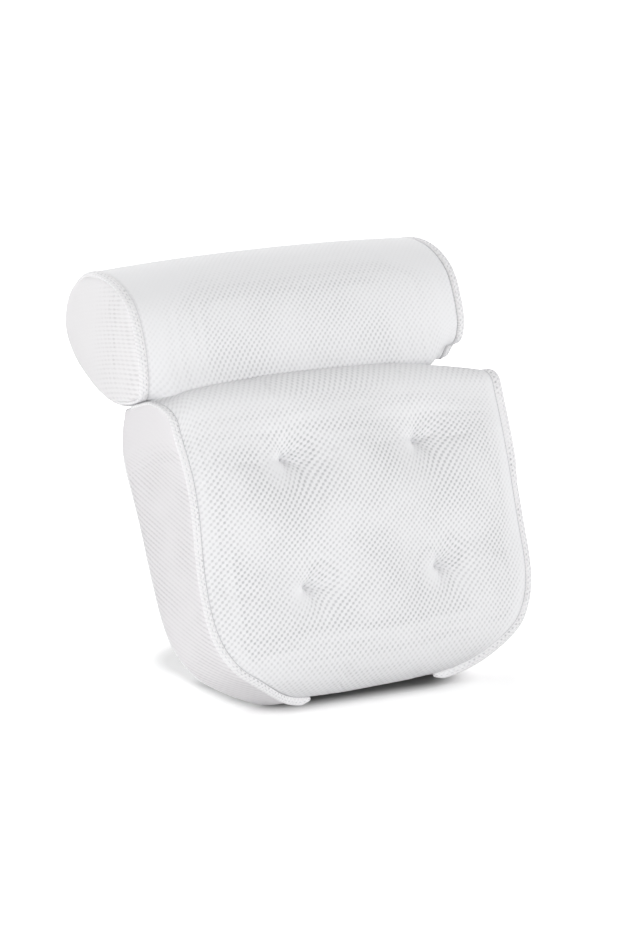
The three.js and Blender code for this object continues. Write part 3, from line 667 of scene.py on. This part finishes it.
gusset_white, gusset_groove = (0.83, 0.815, 0.83, 1), (0.68, 0.665, 0.68, 1)
gusset_cloth = ribbed(
    "gusset_ribs", gusset_white, gusset_groove,
    pitch=0.0050, slant=0.7, cut_share=0.22, cut_across=0.44, cut_along=1.45, depth=0.0005,
)
through = gathered(gusset_columns, True, True)
arch = np.sin(math.pi * through)
for hand, side in (("left", -1), ("right", 1)):
    band, band_weave = [], []
    for row in range(last_row + 1):
        near, far, turned = rows["front"][row], rows["back"][row], rows["turn"][row]
        way = (far - near) / np.hypot(*(far - near))
        near, far = near + way * gusset_edge, far - way * gusset_edge
        wide = np.hypot(*(far - near))
        deep, high = (near[None] + (far - near)[None] * through[:, None]).T
        half = rows["half"][row] + (rows["back_half"][row] - rows["half"][row]) * through
        rise = gusset_rise * (1 - np.exp(-(through * wide + gusset_edge) / gusset_front_run))
        rise = rise * (1 - np.exp(-((1 - through) * wide + gusset_edge) / gusset_back_run))
        high_puff = puff_depth * np.exp(-(((high - puff_height) / puff_reach) ** 2))
        dent = dent_depth * np.exp(-(((high - dent_height - dent_slope * through) / dent_reach) ** 2))
        puff = rise + arch * (high_puff - dent * smooth(dent_from, dent_to, through))
        puff = min(1, row / foot_fade) * puff
        x = side * (half + puff * math.cos(turned))
        band.append(np.stack([x, deep, high + math.sin(turned) * puff], 1))
        length = (rows["length"][row] + rows["back_length"][row]) / 2
        leaning = high + hump_tight_lean * (deep - fold_depth)
        faded = hump_tight * smooth(dent_height + hump_tight_start * dent_reach, puff_height, leaning)
        band_weave.append(np.stack([deep, np.full_like(through, length), faded], 1))
    gusset = cloth_mesh(f"panel_{hand}_side", settled(band), band_weave, flip=side < 0)
    thicken(gusset, finer=1)
    gusset.data.materials.append(gusset_cloth)
    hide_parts(f"panel_{hand}_gusset")
    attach(gusset, "panel")

# Panel welts.
# The two cloth edges of each gusset seam are folded together and stand out beside it as a soft flat edge.
# Topstitching holds the fold, and the welts end in small rounded tips where the gussets stop under the foot.
welt_length, welt_thickness, welt_puff = 0.0070, 0.0032, 0.00012
welt_tip, welt_tip_share, tip_least, tip_flat = 0.012, 0.6, 0.02, 0.3
tip_round = welt_tip / 3
welt_lean, back_welt_start = {"front": 0.0, "back": math.radians(50)}, 0.008
right_taller, taller_from, taller_to = 0.38, 0.150, 0.178
stitch_pitch, stitch_length, stitch_radius, stitch_steps = 0.005, 0.0026, 0.00032, 4
stitch_share, stitch_reach, stitch_depth = 0.62, 0.0012, -0.0001
stitch_places, stitch_arch = np.array((-0.5, -0.3, 0.3, 0.5)), np.array((-0.6, 0.5, 0.5, -0.6))
stitch_taper = np.array((0.4, 1, 1, 0.4))
# The seam thread is a grey tube at the bottom of each seam groove: a thread, and painted shade for the groove.
seam_thread_radius, seam_thread_wave, seam_thread_start = 0.00028, 0.00012, 2
seam_thread_over, seam_thread_under = 0.0004, 0.0002
welt_section_shares = np.array([
    (0.25, -0.17), (0.19, 0.00), (-0.03, 0.10), (-0.15, 0.26), (-0.15, 0.46),
    (-0.04, 0.62), (-0.10, 0.77), (0.10, 0.93), (0.40, 1.00), (0.72, 0.94),
    (0.90, 0.77), (0.82, 0.62), (0.97, 0.46), (1.03, 0.24), (1.03, -0.17),
])
welt_white, welt_groove = (0.92, 0.915, 0.925, 1), (0.80, 0.795, 0.81, 1)
needle_row, needle_half = 0.30 * welt_length, 0.0012
welt_cloth = ribbed(
    "welt_fabric", welt_white, welt_groove, pitch=0.0034, slant=0.8, cut_share=0.3,
    cut_across=1.0, cut_along=0.8, depth=0.0003, needles=(needle_row, needle_half, stitch_pitch),
)


def plain_thread(name, dark, pale):
    """Twisted polyester thread. The grey of the seam thread is painted shade for the seam groove."""
    material = bpy.data.materials.new(name)
    tree = nodes_of(material)
    twist = add(tree, "ShaderNodeTexNoise", None, Scale=900, Detail=2).outputs["Fac"]
    surface(tree, Base_Color=mixed(tree, twist, dark, pale), Roughness=0.7)
    return material


white_thread = plain_thread("white_thread", (0.62, 0.62, 0.64, 1), (0.80, 0.80, 0.82, 1))
# Painted shade: this grey thread darkens the seam grooves as their shadow would.
seam_thread_and_shade = plain_thread("seam_thread_and_shade", (0.56, 0.56, 0.58, 1), (0.74, 0.74, 0.76, 1))


def sampled(line, length, places):
    """Points of a line at places along it."""
    return np.stack([np.interp(places, length, line[:, k]) for k in range(line.shape[1])], 1)


def evenly(line, extra, step):
    """Places at even steps along a line, with the line and the arrays that go with it at those places."""
    length = run_length(line)
    at = np.linspace(0, length[-1], max(2, round(length[-1] / step)) + 1)
    return at, [sampled(a, length, at) for a in (line, *extra)]


thread_sides, across_pillow, up_pillow = 6, (1.0, 0.2, 0), (0, 0.2, 1.0)


def thread_object(name, lines, radii, material, body):
    """Round threads along lines of points, closed at both ends."""
    points, faces = [], []
    for line, sizes in zip(lines, radii):
        run = np.gradient(line, axis=0)
        run /= np.linalg.norm(run, axis=1)[:, None]
        steep = abs(run[:, 2].mean()) > abs(run[:, 0].mean())
        aside = np.cross(run, across_pillow if steep else up_pillow)
        aside /= np.linalg.norm(aside, axis=1)[:, None]
        above = np.cross(run, aside)
        first = len(points)
        for core, size, u, v in zip(line, sizes, aside, above):
            for k in range(thread_sides):
                angle = 2 * math.pi * k / thread_sides
                points.append(core + size * (u * math.cos(angle) + v * math.sin(angle)))
        last = len(points)
        faces += grid_faces(len(line), thread_sides, close_columns=True, first=first)
        faces += [list(range(first, first + thread_sides))[::-1], list(range(last - thread_sides, last))]
    piece = cloth_object(name, placed(np.array(points)), faces, np.zeros((len(points), 2)))
    piece.data.materials.append(material)
    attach(piece, body)
    return piece


def close_ends(piece, sides):
    """Fills the open ends of a tube of cloth."""
    shape = bmesh.new()
    shape.from_mesh(piece.data)
    bmesh.ops.holes_fill(shape, edges=shape.edges, sides=sides)
    shape.to_mesh(piece.data)
    shape.free()


def tip_height(place):
    """Share of a welt's full height at a place along it, less towards its tip."""
    return welt_tip_share + (1 - welt_tip_share) * smooth(0, welt_tip, place)


def standing_welt(name, line, across, up, lean, length, body, node, loop=False):
    """Folded edge beside a seam: across leads from the seam over the cloth, up leads out of it."""
    at, (seam, over, out, lean) = evenly(line, (across, up, lean), stitch_pitch / stitch_steps)
    leaning = out * np.cos(lean) + over * np.sin(lean)
    over = over * np.cos(lean) - out * np.sin(lean)
    beat = np.cos(2 * math.pi * at / stitch_pitch)
    whole = welt_section_shares * (welt_thickness, length)
    centre = whole.mean(axis=0)
    held = np.exp(-(((whole[:, 1] - stitch_share * length) / stitch_reach) ** 2))
    rings, flat = [], []
    for i, place in enumerate(at):
        section = whole + np.sign(whole - centre) * (welt_puff * beat[i] * held)[:, None]
        if not loop:
            tip = math.sqrt(max(tip_least, 1 - (1 - min(1, place / tip_round)) ** 2))
            section = centre + (section - centre) * (tip, tip_flat + (1 - tip_flat) * tip)
            section = section * (1, tip_height(place))
        rings.append(seam[i] + section[:, :1] * over[i] + section[:, 1:] * leaning[i])
        flat.append(np.stack([welt_section_shares[:, 1] * welt_length, np.full(len(section), place)], 1))
    if loop:
        rings, flat = rings[:-1], flat[:-1]
    piece = cloth_mesh(name, rings, flat, close_rows=loop, close_columns=True)
    if not loop:
        close_ends(piece, len(welt_section_shares))
    piece.data.materials.append(welt_cloth)
    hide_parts(node)
    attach(piece, body)
    lines, radii = [], []
    raised = (stitch_depth - stitch_radius * stitch_arch)[:, None]
    for n in range(int(at[-1] / stitch_pitch) - (0 if loop else 1)):
        places = (n + 0.5) * stitch_pitch + stitch_length * stitch_places
        tall = stitch_share * length * (1 if loop else tip_height(places[1]))
        low, beside, high = (sampled(a, at, places) for a in (seam, over, leaning))
        lines.append(low + beside * raised + high * tall)
        radii.append(stitch_radius * stitch_taper)
    thread_object(f"{name}_stitches", lines, radii, white_thread, body)
    # A grey thread along the bottom of the seam groove, painted shade for the groove's shadow.
    first = 0 if loop else seam_thread_start
    core = (seam + over * seam_thread_over - leaning * seam_thread_under)[first:]
    wave = seam_thread_radius + seam_thread_wave * np.cos(4 * math.pi * at / stitch_pitch)[first:]
    thread_object(f"{name}_seam", [core], [wave], seam_thread_and_shade, body)


fine_corner_steps, front_end_rows, back_end_rows = corner_steps * 3, 4, 1
fine = panel_rows(fine_corner_steps, side_steps * 2, edge_steps * 2, bend_steps * 2, top_steps * 2)
edges = (("front", "half", "out", 1.0, front_end_rows), ("back", "back_half", "back_out", -1.0, back_end_rows))
for hand, side in (("left", -1), ("right", 1)):
    for edge, halves, outs, inward, end_rows in edges:
        first = 0 if edge == "front" else int(np.argmax(fine["back"][:, 1] > back_welt_start))
        run = slice(first, len(fine[edge]) - end_rows)
        seam, turned = fine[edge][run], fine["turn"][run]
        line = settled(np.stack([side * fine[halves][run], seam[:, 0], seam[:, 1]], 1))
        in_corner = (np.arange(len(fine[edge]))[run] < fine_corner_steps)[:, None]
        inwards = np.where(in_corner, np.array([[inward, 0.0]]), -fine[outs][run])
        across = np.stack([np.zeros(len(seam)), inwards[:, 0], inwards[:, 1]], 1)
        up = np.stack([side * np.cos(turned), np.zeros(len(seam)), np.sin(turned)], 1)
        if side > 0 and edge == "front":
            up *= 1 + right_taller * smooth(taller_from, taller_to, seam[:, 1:])
        leans = np.full((len(seam), 3), welt_lean[edge])
        name, node = f"panel_{hand}_{edge}_edge", f"panel_{hand}_{edge}_welt"
        standing_welt(name, line, across, up, leans, welt_length, "panel", node)

# Tuft tacks.
# Strong thread runs through the pad at four places and ends in a short bar tack at each face.
# It draws the front cover in and leaves only the tack to see.
tack_radius, tack_half, tack_high, tack_bars = 0.0005, 0.0026, 0.0011, 6
tack_sink, tack_rear, tack_taper = 0.0003, 0.0006, np.array((0.5, 1, 1, 1, 0.5))
steps = np.linspace(0, 1, len(tack_taper))[:, None]
for point, (side, height) in tuft_points.items():
    face = cover.reshape(-1, 3)[point][1] - tack_sink
    rear = back_depth(height) + tack_rear - face
    ends = [((-tack_half, 0, high), (tack_half, 0, -high)) for high in (-tack_high, tack_high)]
    for x in np.linspace(-tack_half, tack_half, tack_bars):
        ends.append(((x, -tack_radius, -tack_high), (x, -tack_radius, tack_high)))
    ends += [((0, 0, 0), (0, rear, 0)), ((-tack_half, rear, 0), (tack_half, rear, 0))]
    place = np.array((side * tuft_side, face, height))
    lines = [place + np.array(start) * (1 - steps) + np.array(stop) * steps for start, stop in ends]
    radii = [tack_radius * tack_taper] * len(lines)
    level, hand = ("lower" if height == tuft_low else "upper"), ("left" if side < 0 else "right")
    tack = thread_object(f"tuft_tack_{level}_{hand}", lines, radii, white_thread, "panel")
    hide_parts(f"tuft_tie_{level}_{hand}")

# Head roll sleeve.
# One piece of the open spacer mesh, wrapped round the stuffing and sewn shut at its tip, in the fold.
# It is fullest in the middle of its length and turns in to the cap seams at both ends.
roll_inset, roll_depth, roll_height, roll_crown, roll_power = 0.005, 0.111, 0.115, 0.0045, 2.2
roll_tip_height, roll_pitch_share = 0.2756, 0.94
left_droop, left_start, right_lift, right_start, droop_height = 0.0045, 0.100, 0.0105, 0.132, 0.034
rest_drop, rest_start, rest_full, rest_end, rest_depth = 0.0075, 0.0, 0.130, 0.160, 0.016
left_rest_drop, left_rest_full, left_rest_end = 0.0080, 0.146, 0.165
rest_push, left_rest_push, rest_push_height, rest_push_reach = 0.0045, 0.0085, 0.004, 0.014
half_roll = half_width - roll_inset
roll_section_shares = [
    (0, -0.005), (-0.125, -0.012), (-0.245, 0.012), (-0.318, 0.17), (-0.34, 0.434), (-0.29, 0.683),
    (-0.09, 0.897), (0.216, 1), (0.495, 0.915), (0.645, 0.68), (0.6, 0.434), (0.4, 0.175), (0.17, 0.03),
]
roll_centre = np.array((0.14 * roll_depth, 0.52 * roll_height))
curve_steps = 40


def closed_curve(points, count):
    """Smooth closed line through points, at even steps, that passes them as a centripetal spline does."""
    points, fine = np.array(points, float), []
    for i in range(len(points)):
        p0, p1, p2, p3 = (points[(i + k) % len(points)] for k in (-1, 0, 1, 2))
        d0, d1, d2 = (np.linalg.norm(b - a) ** 0.5 for a, b in ((p0, p1), (p1, p2), (p2, p3)))
        m1 = ((p1 - p0) / d0 - (p2 - p0) / (d0 + d1) + (p2 - p1) / d1) * d1
        m2 = ((p2 - p1) / d1 - (p3 - p1) / (d1 + d2) + (p3 - p2) / d2) * d1
        a, b = 2 * p1 - 2 * p2 + m1 + m2, -3 * p1 + 3 * p2 - 2 * m1 - m2
        fine += [a * t**3 + b * t**2 + m1 * t + p1 for t in np.linspace(0, 1, curve_steps, endpoint=False)]
    fine = np.array(fine + [fine[0]])
    length = run_length(fine)
    at = np.linspace(0, length[-1], count, endpoint=False)
    return sampled(fine, length, at), at


def roll_place(x, section):
    """Place of points of the roll's section at a place across: crowned, resting on the panel, drooping."""
    swell = 1 + roll_crown / roll_height * (1 - min(1, abs(x) / half_roll) ** roll_power)
    deep, high = section[:, 0] * swell, section[:, 1] * swell
    low = 1 - smooth(0, droop_height, high)
    full, end = (rest_full, rest_end) if x > 0 else (left_rest_full, left_rest_end)
    near_end = 1 - smooth(full, end, abs(x))
    rest = left_rest_drop + (rest_drop - left_rest_drop) * smooth(rest_start, rest_full, x)
    push = left_rest_push + (rest_push - left_rest_push) * smooth(-rest_full, rest_start, x)
    pushed = push * near_end * np.exp(-(((high - rest_push_height) / rest_push_reach) ** 2))
    deep = deep - pushed * smooth(0, rest_depth, -deep)
    rest = rest * near_end - right_lift * smooth(right_start, half_roll, x)
    drop = left_droop * smooth(left_start, half_roll, -x) + rest * smooth(0, rest_depth, -deep)
    high = high - low * drop
    return np.stack([np.full(len(section), x), fold_depth + deep, roll_tip_height + high], 1)


roll_points, roll_columns, sleeve_turn, sleeve_end, end_shares = 156, 76, 0.0016, 0.0030, (0.3, 0.65, 0.9, 1)
ends_tight, ends_from, ends_to = 0.7, 0.55, 0.95
crest_tight, crest_from, crest_to, roll_tightest = 0.8, 0.58, 0.86, 0.9
roll_section = [(a * roll_depth, b * roll_height) for a, b in roll_section_shares]
roll_line, roll_at = closed_curve(roll_section, roll_points)
roll_outward = left_of(np.roll(roll_line, -1, 0) - np.roll(roll_line, 1, 0))
roll_outward *= np.sign((roll_outward * (roll_line - roll_centre)).sum())
over = [half_roll + sleeve_end * share for share in end_shares]
places = [-x for x in reversed(over)] + list(np.linspace(-half_roll, half_roll, roll_columns + 1)) + over
crest = crest_tight * smooth(crest_from, crest_to, roll_line[:, 1] / roll_height)
sleeve, sleeve_weave = [], []
for x in places:
    turned = max(0, abs(x) - half_roll) / sleeve_end
    sleeve.append(roll_place(x, roll_line - roll_outward * sleeve_turn * turned**2))
    faded = np.clip(ends_tight * smooth(ends_from, ends_to, abs(x) / half_roll) + crest, 0, roll_tightest)
    sleeve_weave.append(np.stack([np.full(roll_points, x), roll_at, faded], 1))
roll = cloth_mesh("head_roll_sleeve", sleeve, sleeve_weave, flip=True, close_columns=True)
thicken(roll, finer=0)
roll_pitch = [pitch * roll_pitch_share for pitch in mesh_pitch]
roll_cloth = open_mesh("roll_mesh", mesh_white, mesh_hole, *roll_pitch, strength=0.55)
roll.data.materials.append(roll_cloth)
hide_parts("roll_sleeve", "roll_filling")
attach(roll, "head_roll")

# Head roll ends.
# A drop-shaped cap of mesh with level ribs closes each end, puffed out by the stuffing.
# It is sewn to the sleeve inside a standing welt.
cap_rise, cap_rise_run, cap_puff, cap_rings, cap_power, cap_sag = 0.0060, 0.0025, 0.0065, 24, 2.2, 0.006
cap_tight, cap_tight_from, cap_tight_to, cap_tight_lean, cap_middle = 0.95, -0.12, 0.26, 0.35, 0.4
cap_white, cap_groove = (0.875, 0.865, 0.875, 1), (0.73, 0.72, 0.73, 1)
cap_cloth = ribbed(
    "cap_ribs", cap_white, cap_groove,
    pitch=0.0036, slant=0.15, cut_share=0.45, cut_across=0.65, cut_along=0.0, depth=0.0005,
)
for hand, side in (("left", -1), ("right", 1)):
    cap, cap_weave = [], []
    for share in 1 - gathered(cap_rings, True, False):
        line = roll_centre + (roll_line - roll_outward * sleeve_turn - roll_centre) * share
        ring = roll_place(side * half_roll, line)
        inward = (1 - share) * roll_depth / 2
        rise = cap_rise * (1 - math.exp(-inward / cap_rise_run)) + cap_puff * (1 - share**cap_power)
        ring[:, 0] += side * (sleeve_end + rise)
        cap.append(ring)
        leaning = line[:, 0] / roll_depth + cap_tight_lean * (line[:, 1] / roll_height - cap_middle)
        faded = cap_tight * smooth(cap_tight_from, cap_tight_to, leaning)
        sagging = line[:, 1] + cap_sag * (line[:, 0] / (roll_depth / 2)) ** 2
        cap_weave.append(np.stack([line[:, 0], sagging, faded], 1))
    end = cloth_mesh(f"head_roll_{hand}_cap", cap, cap_weave, flip=side < 0, close_columns=True)
    shape = bmesh.new()
    shape.from_mesh(end.data)
    bmesh.ops.remove_doubles(shape, verts=shape.verts, dist=0.00005)
    shape.to_mesh(end.data)
    shape.free()
    thicken(end, finer=0)
    end.data.materials.append(cap_cloth)
    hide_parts(f"roll_{hand}_end")
    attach(end, "head_roll")

# Head roll welts.
# The cap seams have standing welts like the panel's, one round each cap.
# They stand straight out in front and lie folded over the cap behind.
roll_welt_length, rim_sink, far_lean, lean_from, lean_to = 0.0088, 0.0006, math.radians(62), -0.1, 0.9
for hand, side in (("left", -1), ("right", 1)):
    rim = roll_place(side * half_roll, roll_line - roll_outward * rim_sink)
    rim[:, 0] += side * sleeve_end
    rim = np.concatenate([rim, rim[:1]])
    outward = np.concatenate([roll_outward, roll_outward[:1]])
    across = np.stack([np.zeros(len(rim)), -outward[:, 0], -outward[:, 1]], 1)
    up = np.tile((side, 0.0, 0.0), (len(rim), 1))
    leans = np.repeat(far_lean * smooth(lean_from, lean_to, outward[:, :1]), 3, 1)
    name, node = f"head_roll_{hand}_edge", f"roll_{hand}_welt"
    standing_welt(name, rim, across, up, leans, roll_welt_length, "head_roll", node, loop=True)

# Fold web.
# The strip that joins the pads is sewn between the panel's covers, with a rolled bead along the fold.
# Its ends show at the sides of the valley.
fold_inset, bead_radius, bead_sides, bead_step, bead_wave, bead_least = 0.011, 0.003, 16, 0.0025, 0.05, 0.05
fold_half = half_roll - fold_inset
angles = np.linspace(0, 2 * math.pi, bead_sides, endpoint=False)
bead, bead_weave = [], []
for x in np.arange(-fold_half, fold_half + bead_step / 2, bead_step):
    rounding = math.sqrt(max(bead_least, 1 - max(0, 1 - (fold_half - abs(x)) / bead_radius) ** 2))
    fat = bead_radius * rounding * (1 + bead_wave * math.cos(2 * math.pi * x / stitch_pitch))
    ring = [np.full(bead_sides, x), fold_depth + fat * np.cos(angles), fold_height + fat * np.sin(angles)]
    bead.append(np.stack(ring, 1))
    bead_weave.append(np.stack([np.full(bead_sides, x), angles * fat], 1))
web = cloth_mesh("fold_bead", bead, bead_weave, flip=True, close_columns=True)
close_ends(web, bead_sides)
web.data.materials.append(welt_cloth)
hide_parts("fold_web")
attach(web, "panel")

# Suction cups and their patches.
# Clear soft vinyl cups button through round patches of the welts' cloth, sewn to the back and to the roll.
# They turn freely in their buttonholes.
cup_radius, cup_height, cup_rim, cup_hollow, boss_radius = 0.025, 0.012, 0.0025, 0.0025, 0.009
neck_radius, head_radius, head_thickness, cup_play, cup_steps = 0.004, 0.008, 0.003, 0.0005, 56
patch_radius, patch_thickness, seam_gap, cloth_depth = 0.017, 0.0012, 0.0003, 0.003
round_edge, boss_share, bell_share = 0.0010, 0.3, 0.6
bell_shares, hollow_shares = np.linspace(0.15, 1, 9), np.linspace(0.1, 0.97, 8)
vinyl_dark, vinyl_pale = (0.80, 0.84, 0.87, 1), (0.88, 0.91, 0.93, 1)
vinyl = bpy.data.materials.new("clear_vinyl")
tree = nodes_of(vinyl)
cloudy = add(tree, "ShaderNodeTexNoise", None, Scale=60, Detail=2).outputs["Fac"]
shade = mixed(tree, cloudy, vinyl_dark, vinyl_pale)
surface(tree, Base_Color=shade, Roughness=0.16, IOR=1.5, Transmission_Weight=0.55, Coat_Weight=0.3)


def turned_piece(name, profile, joint, body, material, node):
    """Turned piece standing on a joint's seat, from its profile of radius and height."""
    turn = Vector((0, 0, 1)).rotation_difference(Vector(joint["axis"]))
    ring_like = profile[0] == profile[-1]
    kept = profile[:-1] if ring_like else profile
    points, flat = [], []
    for radius, height in kept:
        for k in range(cup_steps):
            angle = 2 * math.pi * k / cup_steps
            place = Vector((radius * math.cos(angle), radius * math.sin(angle), height))
            points.append(tuple(Vector(joint["pos_m"]) + turn @ place))
            flat.append((place.x, place.y))
    faces = grid_faces(len(kept), cup_steps, close_rows=ring_like, close_columns=True)
    if not ring_like:
        faces += [list(range(cup_steps))[::-1], list(range(len(points) - cup_steps, len(points)))]
    piece = cloth_object(name, points, faces, np.array(flat))
    piece.data.materials.append(material)
    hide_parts(node)
    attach(piece, body)


shoulder, head_top = patch_thickness + 2 * seam_gap, -cloth_depth - cup_play
top, head_base, bore = shoulder + cup_height, head_top - head_thickness, neck_radius + cup_play
hollow_radius, patch_top = cup_radius - cup_rim, seam_gap + patch_thickness
bell = [
    (round_edge / 2, head_base), (head_radius - round_edge, head_base), (head_radius, head_base + round_edge),
    (head_radius, head_top), (neck_radius, head_top), (neck_radius, shoulder),
    (boss_radius - round_edge, shoulder), (boss_radius, shoulder + round_edge),
    (boss_radius, shoulder + cup_height * boss_share),
]
for share in bell_shares:
    angle = math.pi / 2 * share
    radius = boss_radius + (cup_radius - boss_radius) * math.sin(angle)
    bell.append((radius, shoulder + cup_height * (boss_share + bell_share * (1 - math.cos(angle)))))
bell += [(cup_radius, top - round_edge / 3), (cup_radius - round_edge / 2, top), (hollow_radius, top)]
for share in hollow_shares:
    bell.append((hollow_radius * (1 - share), top - cup_hollow * math.sin(math.pi / 2 * share)))
patch = [
    (bore, seam_gap), (patch_radius, seam_gap), (patch_radius, patch_top - round_edge / 2),
    (patch_radius - round_edge / 2, patch_top), (patch_radius - 2 * round_edge, patch_top - round_edge / 4),
    (patch_radius - 3 * round_edge, patch_top), (bore, patch_top), (bore, seam_gap),
]
for joint in frame["joints"]:
    if joint["name"].startswith("cup_swivel_"):
        place = joint["name"].removeprefix("cup_swivel_")
        cup, seat = f"suction_cup_{place}", f"cup_patch_{place}"
        turned_piece(f"{cup}_bell", bell, joint, joint["child"], vinyl, cup)
        turned_piece(f"{seat}_ring", patch, joint, joint["parent"], welt_cloth, seat)

sizes = {"cad": cad_box, "visual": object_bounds()}
sizes = {name: [[float(value) for value in corner] for corner in box] for name, box in sizes.items()}
